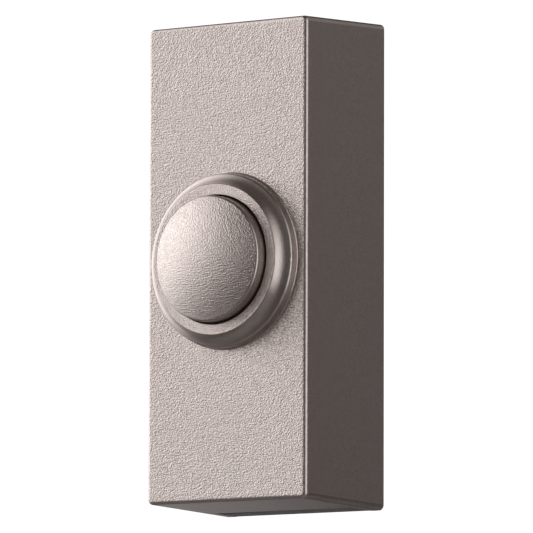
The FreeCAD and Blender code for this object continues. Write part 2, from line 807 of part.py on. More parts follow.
# Tactile switch: base with its well, folded cover and sprung stem
half = switch_width / 2
well_depth = touch_gap + stem_flange_thickness + stem_travel + stem_play
body = new_body("switch_body")
base = Drawing(body, "base_outline", "XZ_Plane", board_front).rectangle(-half, half, -half, half)
shape_from(body, "Pad", "base", base, Length=switch_base_height)
well = Drawing(body, "well_circle", "XZ_Plane", board_front + switch_base_height)
well.circle(0, 0, stem_flange_radius + stem_play * 2)
shape_from(body, "Pocket", "well", well, Length=well_depth)
legs = Drawing(body, "legs_section", "XZ_Plane", board_front)
for sx in (-1, 1):
    for sz in (-1, 1):
        legs.rectangle((half - leg_thickness) * sx, (half + leg_length) * sx,
                       leg_offset * sz - leg_width / 2, leg_offset * sz + leg_width / 2)
shape_from(body, "Pad", "legs", legs, Length=leg_thickness)
switch_body = body

body = new_body("switch_cover")
cover = Drawing(body, "cover_outline", "XZ_Plane", board_front + switch_base_height)
cover.rectangle(-half, half, -half, half)
cover.circle(0, 0, stem_radius + cover_hole_play)
shape_from(body, "Pad", "cover", cover, Length=switch_cover_thickness)
switch_cover = body

body = new_body("switch_stem")
flange_top = board_front + switch_base_height - touch_gap
flange_foot = flange_top - stem_flange_thickness
stem = Drawing(body, "stem_section", "XY_Plane").outline(
    [(0, -flange_foot), (stem_flange_radius, -flange_foot), (stem_flange_radius, -flange_top),
     (stem_radius, -flange_top), (stem_radius, -(stem_tip - stem_chamfer)),
     (stem_radius - stem_chamfer, -stem_tip), (0, -stem_tip)])
turn(body, "Revolution", "stem", stem)
switch_stem = body

# Battery and its contacts
body = new_body("battery")
can = Drawing(body, "can_section", "XZ_Plane", battery_axis).outline(
    [(0, -battery_foot), (battery_radius - can_round, -battery_foot),
     (battery_radius, -(battery_foot - can_round)), (battery_radius, -(nub_tip + nub_height + can_round)),
     (battery_radius - can_round, -(nub_tip + nub_height)), (nub_radius, -(nub_tip + nub_height)),
     (nub_radius, -nub_tip), (0, -nub_tip)])
turn(body, "Revolution", "can", can)
battery = body

body = new_body("positive_contact")
tab_low = chassis_rear - bay_height + contact_edge
tab = Drawing(body, "tab_outline", "XY_Plane", -(bay_inner_top + contact_play + contact_thickness))
tab.rectangle(-contact_half_width, contact_half_width, -(chassis_rear - contact_play), -tab_low)
shape_from(body, "Pad", "tab", tab, Length=contact_thickness)
tail = Drawing(body, "tail_outline", "XZ_Plane", board_rear - contact_thickness)
tail.rectangle(-tail_half_width, tail_half_width, -(bay_inner_top + contact_play + contact_thickness),
               -(board_bottom - tail_length))
shape_from(body, "Pad", "tail", tail, Length=contact_thickness)
positive_contact = body

body = new_body("negative_contact")
wide = bay_half_width - contact_play * 2
link_low = chassis_rear - contact_edge * 1.5
strip_end = strip_start + strip_width
end_tab = Drawing(body, "end_tab_outline", "XY_Plane", -sheet_foot)
end_tab.outline([(-wide, -chassis_rear), (strip_end, -chassis_rear), (strip_end, -link_low),
                 (wide, -link_low), (wide, -tab_low), (-wide, -tab_low)])
shape_from(body, "Pad", "end_tab", end_tab, Length=contact_thickness)
riser = board_bottom + strip_gap
fold = Drawing(body, "strip_profile", "YZ_Plane", strip_start).outline(
    [(-chassis_rear, -sheet_foot), (contact_thickness - chassis_rear, -sheet_foot),
     (contact_thickness - chassis_rear, -(riser + contact_thickness)),
     (contact_thickness - board_rear, -(riser + contact_thickness)),
     (contact_thickness - board_rear, -(board_bottom - tail_length)),
     (-board_rear, -(board_bottom - tail_length)), (-board_rear, -riser), (-chassis_rear, -riser)])
shape_from(body, "Pad", "strip", fold, Length=strip_width)
negative_contact = body

body = new_body("contact_spring")
section = Drawing(body, "coil_wire_section", "XZ_Plane", battery_axis)
section.circle(coil_radius, -(coil_foot - coil_wire / 2 + contact_play / 2), coil_wire / 2)
turn(body, "AdditiveHelix", "cone_coil", section, Mode=2, Height=coil_length - coil_wire,
     Turns=coil_turns, Angle=coil_taper)
contact_spring = body

# Parts soldered on the wall side of the board
lead_count = 7
body = new_body("transmitter_chip")
chip = Drawing(body, "chip_outline", "XZ_Plane", board_rear - chip_height).rectangle(
    chip_x - chip_length / 2, chip_x + chip_length / 2, chip_z - chip_width / 2, chip_z + chip_width / 2)
shape_from(body, "Pad", "chip", chip, Length=chip_height - chip_lift)
lead_mid = chip_height / 2
row_start = chip_x - lead_pitch * ((lead_count - 1) / 2) - lead_width / 2
for sz in (-1, 1):
    side = "low" if sz < 0 else "top"
    edge_z = chip_z + chip_width / 2 * sz
    t = lead_thickness
    shoulder = edge_z + lead_reach / 2 * sz
    toe = edge_z + lead_reach * sz
    lead = Drawing(body, "lead_profile_" + side, "YZ_Plane", row_start).outline(
        [(lead_mid - board_rear, edge_z - t * sz), (lead_mid - board_rear, shoulder),
         (t - board_rear, shoulder), (t - board_rear, toe), (-board_rear, toe),
         (-board_rear, shoulder - t * sz), (lead_mid - t - board_rear, shoulder - t * sz),
         (lead_mid - t - board_rear, edge_z - t * sz)])
    one = shape_from(body, "Pad", "lead_" + side, lead, Length=lead_width)
    rows = body.newObject("PartDesign::LinearPattern", "leads_" + side)
    rows.Originals = [one]
    rows.Direction = (lead.sketch, ["N_Axis"])
    rows.Occurrences = lead_count
    set_values(rows, {"Length": lead_pitch * (lead_count - 1)})
    body.Tip = rows
transmitter_chip = body

body = new_body("resonator_can")
r = resonator_radius
f = resonator_flange
top = resonator_height
can = Drawing(body, "resonator_section", "XY_Plane").outline(
    [(0, 0), (r + f, 0), (r + f, f), (r, f), (r, top - f), (r - f, top), (0, top)], {4: (f, -1)})
turn(body, "Revolution", "resonator", can)
put(body, -resonator_x, -board_rear, resonator_z)
resonator_can = body

body = new_body("electrolytic_capacitor")
r = capacitor_radius
top = capacitor_height
can = Drawing(body, "capacitor_section", "XY_Plane").outline(
    [(0, 0), (r, 0), (r, crimp * 3), (r - crimp, crimp * 4), (r, crimp * 5), (r, top - crimp),
     (r - crimp, top), (0, top)])
turn(body, "Revolution", "capacitor", can)
put(body, capacitor_x, -board_rear, capacitor_z)
electrolytic_capacitor = body

body = new_body("antenna_coil")
wire = Drawing(body, "antenna_wire_section", "XZ_Plane")
wire.circle(-antenna_length / 2, antenna_radius, antenna_wire / 2)
turn(body, "AdditiveHelix", "antenna", wire, axis="H_Axis", Mode=2,
     Height=antenna_length, Turns=antenna_turns)
put(body, 0, antenna_radius + antenna_wire / 2 + touch_gap - board_rear, antenna_z)
antenna_coil = body

items = []
for k in range(3):
    items.append(block("chip_capacitor_" + str(k + 1), small_x - small_length / 2, -board_rear,
                       small_start + small_pitch * k, small_length, cap_chip_height, small_width))
chip_capacitors = group("chip_capacitors", items)
items = []
for k in range(4):
    items.append(block("chip_resistor_" + str(k + 1), resistor_pitch * k - resistor_x, -board_rear,
                       chip_z, small_width, resistor_height, small_length))
chip_resistors = group("chip_resistors", items)

header_columns = 4
body = new_body("coding_header")
left = -header_x - pin_pitch * (header_columns / 2)
base = Drawing(body, "header_outline", "XZ_Plane", board_rear - header_height).rectangle(
    left, left + pin_pitch * header_columns, header_z - pin_pitch, header_z + pin_pitch)
shape_from(body, "Pad", "header", base, Length=header_height)
pin_rows = Drawing(body, "header_pins_section", "XZ_Plane", board_rear - header_pin_length)
for sz in (-1, 1):
    x, z = left + pin_pitch / 2, header_z + pin_pitch / 2 * sz
    pin_rows.rectangle(x - header_pin / 2, x + header_pin / 2, z - header_pin / 2, z + header_pin / 2)
one = shape_from(body, "Pad", "header_pins", pin_rows, Length=header_pin_length - header_height / 2)
rows = body.newObject("PartDesign::LinearPattern", "header_columns")
rows.Originals = [one]
rows.Direction = (pin_rows.sketch, ["H_Axis"])
rows.Occurrences = header_columns
set_values(rows, {"Length": pin_pitch * (header_columns - 1)})
body.Tip = rows
coding_header = body

items = []
for k in (0, 2):
    jumper = new_body("jumper_" + str(k))
    x = left + pin_pitch / 2 + pin_pitch * k
    reach = pin_pitch - (pin_pitch - jumper_width) / 2
    start = board_rear - header_height - jumper_height
    sleeve = Drawing(jumper, "jumper_outline_" + str(k), "XZ_Plane", start)
    sleeve.rounded(x - jumper_width / 2, x + jumper_width / 2,
                   header_z - reach, header_z + reach, jumper_width / 8)
    for sz in (-1, 1):
        z = header_z + pin_pitch / 2 * sz
        side = header_pin / 2 + jumper_play
        sleeve.rectangle(x - side, x + side, z - side, z + side)
    shape_from(jumper, "Pad", "jumper_sleeve_" + str(k), sleeve, Length=jumper_height)
    items.append(jumper)
jumper_caps = group("jumper_caps", items)

# Wall plate with its lip in the notch, two hooks at the top and the latch tongue at the bottom
body = new_body("base_plate")
pw, ph = inner_half_width(0) - plate_fit, inner_half_height(0) - plate_fit
sheet_outline = Drawing(body, "wall_plate_outline", "XZ_Plane")
sheet_outline.rounded(-pw, pw, -ph, ph, inner_corner_radius)
shape_from(body, "Pad", "wall_plate", sheet_outline, Length=plate_thickness)
ledge_top = ph - ledge_inset
ledge_end = hook_start + hook_length
ledge = Drawing(body, "top_ledge_section", "XZ_Plane", plate_thickness / 2).rectangle(
    -ledge_half_width, ledge_half_width, ledge_top - rim_thickness, ledge_top)
shape_from(body, "Pad", "top_ledge", ledge, Length=ledge_end - plate_thickness / 2)
hooks = Drawing(body, "hooks_section", "XZ_Plane", hook_start)
half = hook_width / 2
for sx in (-1, 1):
    hooks.rectangle(hook_x * sx - half, hook_x * sx + half,
                    ledge_top - rim_thickness / 2, recess_z + hook_reach)
shape_from(body, "Pad", "hooks", hooks, Length=hook_length)
lip_half = notch_half_width - plate_fit
lip_inner = ph - rim_thickness
lip = Drawing(body, "lip_profile", "YZ_Plane", -lip_half).outline(
    [(0, -(outer_half_height(0) - lip_recess)), (0, -lip_inner), (-lip_depth, -lip_inner),
     (-lip_depth, -(outer_half_height(lip_depth) - lip_recess))])
shape_from(body, "Pad", "lip", lip, Length=lip_half * 2)
# The lip's front edge is cut back toward its left end, so that a blade can pry the housing off
pry_end = -(lip_half + past)
pry_floor = outer_half_height(0) + past
pry = Drawing(body, "pry_gap_section", "XY_Plane", -pry_floor).outline(
    [(pry_reach, -lip_depth), (pry_end, -(lip_depth - pry_width)), (pry_end, -(lip_depth + past)),
     (pry_reach, -(lip_depth + past))])
shape_from(body, "Pocket", "pry_gap", pry, Length=pry_floor - inner_half_height(latch_reach), Reversed=True)
tongue_low = inner_half_height(latch_reach) - plate_fit
tongue_top = tongue_low - latch_thickness
barb_end = barb_start + barb_length
tongue = Drawing(body, "latch_profile", "YZ_Plane", -latch_width / 2).outline(
    [(-lip_depth / 2, -tongue_top), (-latch_reach, -tongue_top), (-latch_reach, -tongue_low),
     (-barb_end, -tongue_low), (-barb_start, -(barb_z + barb_height)), (-barb_start, -tongue_low),
     (-lip_depth / 2, -tongue_low)])
shape_from(body, "Pad", "latch", tongue, Length=latch_width)
bars = Drawing(body, "stiffeners_section", "XZ_Plane", plate_thickness / 2)
for sx in (-1, 1):
    bars.rectangle(stiffener_x * sx - stiffener_width / 2, stiffener_x * sx + stiffener_width / 2,
                   -stiffener_half_length, stiffener_half_length)
shape_from(body, "Pad", "stiffeners", bars, Length=stiffener_height + plate_thickness / 2)
slots = Drawing(body, "screw_slots_section", "XZ_Plane")
half = slot_length / 2 - slot_radius
for sz in (-1, 1):
    slots.slot(0, slot_z * sz - half, slot_z * sz + half, slot_radius)
shape_from(body, "Pocket", "screw_slots", slots, Length=plate_thickness, Reversed=True)
base_plate = body

doc.recompute()

nodes = [front_housing, push_cap, return_spring, inner_chassis, chassis_screws, circuit_board,
         board_screws, switch_body, switch_cover, switch_stem, battery, positive_contact,
         negative_contact, contact_spring, transmitter_chip, resonator_can, electrolytic_capacitor,
         antenna_coil, chip_capacitors, chip_resistors, coding_header, jumper_caps, base_plate]

faults = []
for item in doc.Objects:
    if "Invalid" in item.State or "Error" in item.State:
        faults.append(item.Label + " " + str(item.State))
adds = ("Pad", "Revolution", "AdditiveLoft", "AdditiveHelix", "LinearPattern")
cuts = ("Pocket", "Groove", "SubtractiveLoft")
for item in doc.Objects:
    if item.TypeId != "PartDesign::Body":
        continue
    before = 0.0
    for step in item.Group:
        kind = step.TypeId.split("::")[1]
        if not step.TypeId.startswith("PartDesign::"):
            continue
        after = step.Shape.Volume
        if kind in adds and after < before + 1e-6:
            faults.append(item.Label + " " + step.Label + " adds nothing")
        if kind in cuts and after > before - 1e-6:
            faults.append(item.Label + " " + step.Label + " cuts nothing")
        before = after

for item in nodes:
    shape = item.Shape
    if shape.isNull() or not shape.isValid():
        faults.append(item.Label + " has no valid shape")
        continue
    box = shape.BoundBox
    print("%-24s solids %d  volume %9.2f  x %.2f %.2f  y %.2f %.2f  z %.2f %.2f" % (
        item.Label, len(shape.Solids), shape.Volume,
        box.XMin, box.XMax, box.YMin, box.YMax, box.ZMin, box.ZMax))

if faults:
    raise RuntimeError("; ".join(faults))

for item in nodes:
    item.Shape.exportStep("parts/" + item.Label + ".step")
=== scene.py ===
# %% [markdown]
# # A battery bell push in pebbled satin paint
# The part was drawn in CAD, so its shape and sizes are settled before this file starts. Blender
# dresses it: every piece gets a finish made of nodes, a few pieces too fine for the CAD model are
# added, and a small studio is set up around it. Run the cells from top to bottom.

# %% Load the CAD frame
import math

import bmesh
import bpy
from mathutils import Matrix, Vector


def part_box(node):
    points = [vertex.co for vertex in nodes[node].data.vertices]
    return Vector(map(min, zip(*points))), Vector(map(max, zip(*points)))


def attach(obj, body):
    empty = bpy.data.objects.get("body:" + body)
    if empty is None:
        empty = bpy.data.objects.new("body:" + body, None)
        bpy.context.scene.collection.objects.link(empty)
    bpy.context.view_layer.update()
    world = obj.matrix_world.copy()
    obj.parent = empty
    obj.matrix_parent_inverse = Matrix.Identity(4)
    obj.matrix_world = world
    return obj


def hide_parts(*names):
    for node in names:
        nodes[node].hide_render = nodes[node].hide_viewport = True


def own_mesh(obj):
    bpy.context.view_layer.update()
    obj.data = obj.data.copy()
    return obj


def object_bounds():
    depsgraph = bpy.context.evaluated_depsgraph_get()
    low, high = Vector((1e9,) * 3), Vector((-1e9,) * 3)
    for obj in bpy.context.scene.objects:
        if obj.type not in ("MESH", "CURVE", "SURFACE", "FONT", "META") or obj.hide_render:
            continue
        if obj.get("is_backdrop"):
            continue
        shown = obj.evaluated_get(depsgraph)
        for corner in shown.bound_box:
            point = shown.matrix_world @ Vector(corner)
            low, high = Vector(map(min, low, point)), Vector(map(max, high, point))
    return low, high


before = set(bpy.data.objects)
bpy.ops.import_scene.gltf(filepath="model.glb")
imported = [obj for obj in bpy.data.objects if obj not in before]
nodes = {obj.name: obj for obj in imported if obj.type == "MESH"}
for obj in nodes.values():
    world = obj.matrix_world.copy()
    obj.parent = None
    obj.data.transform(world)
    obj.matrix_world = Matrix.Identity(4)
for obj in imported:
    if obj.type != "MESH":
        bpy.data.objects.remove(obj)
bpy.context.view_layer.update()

# %% [markdown]
# ## Shader maths as plain Python
# A node tree is easier to read when its arithmetic looks like arithmetic. A Wire wraps one output
# socket. Adding or multiplying wires lays down Math nodes, and numbers on their own stay numbers.
# Colours never go through Math nodes, because those turn a colour grey.


# %% The Wire class
class Wire:
    """One output socket of a finish."""

    def __init__(self, finish, socket):
        self.finish = finish
        self.socket = socket

    def maths(self, operation, first, second):
        return self.finish.node("ShaderNodeMath", {"operation": operation}, {0: first, 1: second})

    def __add__(self, other):
        return self.maths("ADD", self, other)

    def __radd__(self, other):
        return self.maths("ADD", other, self)

    def __sub__(self, other):
        return self.maths("SUBTRACT", self, other)

    def __rsub__(self, other):
        return self.maths("SUBTRACT", other, self)

    def __mul__(self, other):
        return self.maths("MULTIPLY", self, other)

    def __rmul__(self, other):
        return self.maths("MULTIPLY", other, self)

    def __pow__(self, other):
        return self.maths("POWER", self, other)


# %% [markdown]
# ## One way to add a node
# Every finish is a Principled shader with wires going into it. The method `node` takes the kind of
# node, its settings and what goes into its sockets, so each pattern below is one short expression.


# %% The Finish class
class Finish:
    """A material that is being mixed from nodes."""

    def __init__(self, name):
        self.material = bpy.data.materials.new(name)
        self.material.use_nodes = True
        self.tree = self.material.node_tree
        self.shader = self.tree.nodes["Principled BSDF"]
        self.place = self.node("ShaderNodeTexCoord", output="Object")

    def node(self, kind, settings=None, inputs=None, output=0):
        made = self.tree.nodes.new(kind)
        for key, value in (settings or {}).items():
            if key == "stops":
                ramp = made.color_ramp
                ramp.elements[0].position, ramp.elements[-1].position = value[0][0], value[-1][0]
                for position, _ in value[1:-1]:
                    ramp.elements.new(position)
                for element, (position, color) in zip(ramp.elements, value):
                    element.color = (*color, 1)
            else:
                setattr(made, key, value)
        for key, value in (inputs or {}).items():
            if isinstance(value, Wire):
                self.tree.links.new(value.socket, made.inputs[key])
            else:
                made.inputs[key].default_value = value
        return Wire(self, made.outputs[output])

    def noise(self, size, detail=2.0, rough=0.5, where=None):
        """Soft noise whose lumps are about size metres apart."""
        return self.node("ShaderNodeTexNoise", None, {
            "Vector": where or self.place, "Scale": 1 / size, "Detail": detail, "Roughness": rough})

    def pebbles(self, size, soft=0.7, where=None):
        """Distance to the middle of rounded cells about size metres across."""
        return self.node("ShaderNodeTexVoronoi", {"feature": "SMOOTH_F1"}, {
            "Vector": where or self.place, "Scale": 1 / size, "Smoothness": soft})

    def fit(self, wire, low, high, to_low=0.0, to_high=1.0):
        """Stretch the range low to high onto another range."""
        return self.node("ShaderNodeMapRange", {"clamp": True}, {
            0: wire, 1: low, 2: high, 3: to_low, 4: to_high})

    def mix(self, share, first, second):
        """Blend two colours."""
        return self.node("ShaderNodeMix", {"data_type": "RGBA"}, {0: share, 6: first, 7: second}, 2)

    def axis(self, name):
        """One coordinate of the surface point, in metres."""
        return self.node("ShaderNodeSeparateXYZ", None, {0: self.place}, name)

    def bump(self, height, depth, strength=1.0, below=None):
        """Tilt the normal as if the height were depth metres high."""
        inputs = {"Height": height, "Distance": depth, "Strength": strength}
        if below is not None:
            inputs["Normal"] = below
        return self.node("ShaderNodeBump", None, inputs)

    def shade(self, **sockets):
        """Set the Principled shader's sockets; underscores stand for spaces."""
        for key, value in sockets.items():
            socket = self.shader.inputs[key.replace("_", " ")]
            if isinstance(value, Wire):
                self.tree.links.new(value.socket, socket)
            else:
                socket.default_value = value
        return self


def rgb(red, green, blue):
    return (red, green, blue, 1.0)


def wear(finish, *names):
    """Put a finish on CAD nodes."""
    for name in names:
        for slot in nodes[name].material_slots:
            slot.material = finish.material


# %% [markdown]
# ## The pebbled coat
# The housing and the cap are moulded plastic under a satin metallic paint. Up close the paint is
# not flat: it dries in low rounded pebbles about 0.4 mm across, which catch the light as a fine
# salt-and-pepper grain. Two sizes of soft noise give the pebbles. The paint itself holds tiny
# flakes, so its brightness and its gloss change slightly from pebble to pebble.

# %% Paint for the housing and the cap
PEBBLE = 0.00028
FINE_PEBBLE = 0.00015
PEBBLE_HEIGHT = 0.00021
PAINT_DARK = rgb(0.54, 0.465, 0.438)
PAINT_LIGHT = rgb(0.68, 0.605, 0.577)
DOME_RADIUS = 0.02866
CROWN_INNER, CROWN_OUTER = 0.0015, 0.003


def pebbled_coat(name, steepest, pebble_height, dome_centre=None):
    """Paint whose pebbles fade out on faces that turn away from the front by steepest degrees.

    The CAD mesh pinches its smooth normals at the crown of a dome. There the normal is worked out
    instead: on a ball it points from the ball's centre to the surface.
    """
    paint = Finish(name)
    normal = paint.node("ShaderNodeNewGeometry", output="Normal")
    toward_front = paint.node("ShaderNodeVectorMath", {"operation": "DOT_PRODUCT"}, {
        0: normal, 1: (0.0, -1.0, 0.0)}, "Value")
    edge = math.cos(math.radians(steepest))
    pebbled = paint.fit(toward_front, edge - 0.03, edge, 0.15, 1.0)
    lumps = paint.noise(PEBBLE, 1.0, 0.5)
    fine = paint.noise(FINE_PEBBLE, 0.0)
    height = lumps * 0.7 + fine * 0.3
    flakes = paint.noise(0.00012, 1.0)
    drift = paint.noise(0.0012, 2.0)
    shade = paint.fit(flakes * 0.5 + height * 0.3 + drift * 0.2, 0.35, 0.65)
    smooth = None
    if dome_centre is not None:
        ray = paint.node("ShaderNodeVectorMath", {"operation": "SUBTRACT"}, {0: paint.place, 1: dome_centre})
        ray = paint.node("ShaderNodeVectorMath", {"operation": "NORMALIZE"}, {0: ray})
        reach = (paint.axis("X") ** 2 + paint.axis("Z") ** 2) ** 0.5
        near_crown = paint.fit(reach, CROWN_INNER, CROWN_OUTER, 1.0, 0.0)
        smooth = paint.node("ShaderNodeMix", {"data_type": "VECTOR"}, {0: near_crown, 4: normal, 5: ray}, 1)
    paint.shade(
        Base_Color=paint.mix(shade, PAINT_DARK, PAINT_LIGHT),
        Metallic=0.97,
        Roughness=paint.fit(flakes, 0.3, 0.7, 0.2, 0.27) + (1.0 - pebbled) * 0.08,
        Normal=paint.bump(height, pebble_height, pebbled, smooth),
    )
    return paint


housing_coat = pebbled_coat("satin_pebble_housing", 14, PEBBLE_HEIGHT)
cap_coat = pebbled_coat("satin_pebble_cap", 26, PEBBLE_HEIGHT * 0.8,
                        (0.0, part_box("push_cap")[0].y + DOME_RADIUS, 0.0))
wear(housing_coat, "front_housing")
wear(cap_coat, "push_cap")
print("pebbles", PEBBLE * 1000, "mm")

# %% [markdown]
# ## Moulded plastics inside
# The plate, the chassis and the small parts are moulded in plain plastic. Moulded plastic has a
# faint spark-eroded grain from its tool, and slight flow marks that change the gloss.

# %% Moulded plastic


def moulded(name, color, grain, rough):
    plastic = Finish(name)
    sand = plastic.noise(grain, 3.0, 0.6)
    flow = plastic.noise(grain * 30, 2.0)
    dark = rgb(*[v * 0.86 for v in color])
    plastic.shade(
        Base_Color=plastic.mix(plastic.fit(sand * 0.5 + flow * 0.5, 0.35, 0.65), dark, rgb(*color)),
        Roughness=plastic.fit(flow, 0.35, 0.65, rough - 0.06, rough + 0.06),
        Normal=plastic.bump(sand, grain * 0.08),
    )
    return plastic


wear(moulded("plate_plastic_grain", (0.24, 0.225, 0.22), 0.00025, 0.5), "base_plate")
wear(moulded("chassis_plastic_grain", (0.035, 0.035, 0.037), 0.0003, 0.5), "inner_chassis")
wear(moulded("switch_plastic_grain", (0.02, 0.02, 0.02), 0.0001, 0.45), "switch_body")
wear(moulded("stem_plastic_grain", (0.03, 0.03, 0.03), 0.0001, 0.4), "switch_stem")
wear(moulded("chip_epoxy_grain", (0.022, 0.022, 0.024), 0.00012, 0.6), "transmitter_chip")
wear(moulded("header_plastic_grain", (0.018, 0.018, 0.018), 0.00015, 0.45), "coding_header")
wear(moulded("jumper_plastic_grain", (0.03, 0.06, 0.24), 0.00015, 0.4), "jumper_caps")

# %% [markdown]
# ## Metal parts
# Springs are drawn wire, screws are zinc plated and the contacts are nickel-plated strip. Drawn and
# rolled metal shows fine streaks, and plating clouds a little, so the gloss varies.

# %% Metals


def metal(name, color, streak, rough):
    steel = Finish(name)
    long_way = steel.node("ShaderNodeMapping", None, {"Vector": steel.place, "Scale": (1, 0.12, 1)})
    streaks = steel.noise(streak, 4.0, 0.6, long_way)
    clouds = steel.noise(streak * 12, 2.0)
    dull = rgb(*[v * 0.8 for v in color])
    steel.shade(
        Base_Color=steel.mix(steel.fit(streaks * 0.5 + clouds * 0.5, 0.35, 0.65), dull, rgb(*color)),
        Metallic=1.0,
        Roughness=steel.fit(streaks, 0.3, 0.7, rough - 0.07, rough + 0.1),
        Normal=steel.bump(streaks, streak * 0.02),
    )
    return steel


wear(metal("spring_wire_drawn", (0.56, 0.56, 0.57), 0.0002, 0.28), "return_spring")
wear(metal("zinc_plate", (0.62, 0.63, 0.66), 0.0002, 0.3), "chassis_screws", "board_screws")
wear(metal("switch_steel_sheet", (0.66, 0.66, 0.67), 0.0001, 0.32), "switch_cover")
wear(metal("nickel_strip", (0.68, 0.65, 0.58), 0.0002, 0.28),
     "positive_contact", "negative_contact", "contact_spring")
wear(metal("drawn_can", (0.7, 0.69, 0.66), 0.0003, 0.25), "resonator_can")
wear(metal("enamelled_wire", (0.66, 0.27, 0.12), 0.0002, 0.25), "antenna_coil")

# %% [markdown]
# ## The return spring
# The CAD spring is rigid, so a pressed cap would cut into it. Here the coil is wound again as one wire that rides
# with the housing; it is rigid too.

# %% A spring wound from one wire
SPRING_TURNS = 5
STEPS_PER_COIL = 48
SPRING_WIRE = 0.0003

low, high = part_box("return_spring")
coil_length = high.y - low.y - 2 * SPRING_WIRE
coil_steps = SPRING_TURNS * STEPS_PER_COIL
coil = bmesh.new()
bmesh.ops.create_circle(coil, cap_ends=True, segments=14, radius=SPRING_WIRE,
                        matrix=Matrix.Translation((high.x - SPRING_WIRE, low.y + SPRING_WIRE, 0)))
bmesh.ops.spin(coil, geom=[*coil.faces, *coil.edges, *coil.verts], cent=(0, 0, 0), axis=(0, 1, 0),
               dvec=(0, coil_length / coil_steps, 0), angle=2 * math.pi * SPRING_TURNS, steps=coil_steps,
               use_merge=False)
bmesh.ops.recalc_face_normals(coil, faces=coil.faces)
for face in coil.faces:
    face.smooth = len(face.verts) == 4
coil_mesh = bpy.data.meshes.new("wound_spring")
coil.to_mesh(coil_mesh)
coil.free()
wound_spring = bpy.data.objects.new("wound_spring", coil_mesh)
bpy.context.scene.collection.objects.link(wound_spring)
coil_mesh.materials.append(metal("spring_wire_wound", (0.56, 0.56, 0.57), 0.0002, 0.28).material)
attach(wound_spring, "housing")
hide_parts("return_spring")
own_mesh(wound_spring)
print("spring", round((high.y - low.y) * 1000, 2), "mm long at rest")

# %% [markdown]
# ## Screw threads
# The CAD screws have plain shanks, because a real thread would make their solids heavy. Here a small
# triangle is spun round each screw's axis, and the spin also moves it a little along the axis at every
# step, which makes a helix. The crest then sinks into the shank over the last half turn at both ends.

# %% Threads for all six screws
THREAD_PITCH = 0.0008
THREAD_ROOT, THREAD_CREST = 0.00078, 0.00102
STEPS_PER_TURN = 20
SCREW_HEAD = 0.0013
HEAD_RADIUS = 0.00195


def sweep_thread(mesh, x, z, start, end):
    """Wind one thread round an axis along Y, from under the head at start to near the tip at end."""
    turns = (start - end) / THREAD_PITCH
    steps = round(turns * STEPS_PER_TURN)
    half = THREAD_PITCH * 0.3
    flank = mesh.faces.new([mesh.verts.new((x + THREAD_ROOT, start - half, z)),
                            mesh.verts.new((x + THREAD_CREST, start, z)),
                            mesh.verts.new((x + THREAD_ROOT, start + half, z))])
    before = set(mesh.verts) - set(flank.verts)
    bmesh.ops.spin(mesh, geom=[flank, *flank.edges, *flank.verts], cent=(x, 0, z), axis=(0, 1, 0),
                   dvec=(0, (end - start) / steps, 0), angle=2 * math.pi * turns, steps=steps,
                   use_merge=False)
    for vert in set(mesh.verts) - before:
        outward = Vector((vert.co.x - x, 0, vert.co.z - z))
        height = outward.length - THREAD_ROOT
        if height > 0.00001:
            rise = 0.1 + min(start - vert.co.y, vert.co.y - end) * 2 / THREAD_PITCH
            vert.co -= outward.normalized() * height * (1 - max(0.1, min(1.0, rise)))


threads = bmesh.new()
for node, sides in (("chassis_screws", (-1, 1)), ("board_screws", (1,))):
    low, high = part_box(node)
    x_axis = high.x - HEAD_RADIUS
    z_axis = high.z - HEAD_RADIUS
    neck, tip = high.y - SCREW_HEAD, low.y
    for sx in (-1, 1):
        for sz in sides:
            sweep_thread(threads, x_axis * sx, z_axis * sz, neck - THREAD_PITCH, tip + THREAD_PITCH * 1.5)
bmesh.ops.recalc_face_normals(threads, faces=threads.faces)
thread_mesh = bpy.data.meshes.new("screw_threads")
threads.to_mesh(thread_mesh)
threads.free()
screw_threads = bpy.data.objects.new("screw_threads", thread_mesh)
bpy.context.scene.collection.objects.link(screw_threads)
thread_mesh.materials.append(metal("thread_zinc", (0.62, 0.63, 0.66), 0.0002, 0.3).material)
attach(screw_threads, "housing")
print("thread faces", len(thread_mesh.polygons))

# %% [markdown]
# ## Board, cell and ceramic parts
# The board is glass cloth under green solder mask: the cloth shows as a faint square weave. The cell
# wears a printed film with bare metal at both ends, and the small capacitor has a pale stripe. The
# bands are made by comparing one coordinate with a height, so they sit exactly where the parts end.

# %% Board, cell, capacitors and resistors
CELL_TOP, CELL_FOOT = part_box("battery")[1].z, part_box("battery")[0].z
CLOTH = 0.0005

board = Finish("solder_mask")
weave = board.node("ShaderNodeTexWave", {"bands_direction": "X"}, {
    "Vector": board.place, "Scale": 1 / CLOTH / 6.28, "Distortion": 0.5, "Detail Scale": 2.0})
weft = board.node("ShaderNodeTexWave", {"bands_direction": "Z"}, {
    "Vector": board.place, "Scale": 1 / CLOTH / 6.28, "Distortion": 0.5, "Detail Scale": 2.0})
cloth = weave * 0.5 + weft * 0.5
board.shade(
    Base_Color=board.mix(cloth, rgb(0.012, 0.075, 0.03), rgb(0.02, 0.12, 0.05)),
    Roughness=board.fit(board.noise(0.002), 0.3, 0.7, 0.22, 0.38),
    Normal=board.bump(cloth, 0.00001),
)
wear(board, "circuit_board")

cell = Finish("cell_sleeve")
height = cell.axis("Z")
body_band = cell.fit(height, CELL_FOOT + 0.0012, CELL_FOOT + 0.0013) \
    * cell.fit(height, CELL_TOP - 0.0020, CELL_TOP - 0.0019, 1.0, 0.0)
dark_band = cell.fit(height, CELL_TOP - 0.0095, CELL_TOP - 0.0094)
film = cell.mix(dark_band, rgb(0.62, 0.44, 0.06), rgb(0.02, 0.02, 0.022))
scuff = cell.noise(0.0015, 3.0)
cell.shade(
    Base_Color=cell.mix(body_band, rgb(0.66, 0.64, 0.6), film),
    Metallic=1.0 - body_band * 0.9,
    Roughness=cell.fit(scuff, 0.3, 0.7, 0.22, 0.4),
    Normal=cell.bump(scuff, 0.00001),
)
wear(cell, "battery")

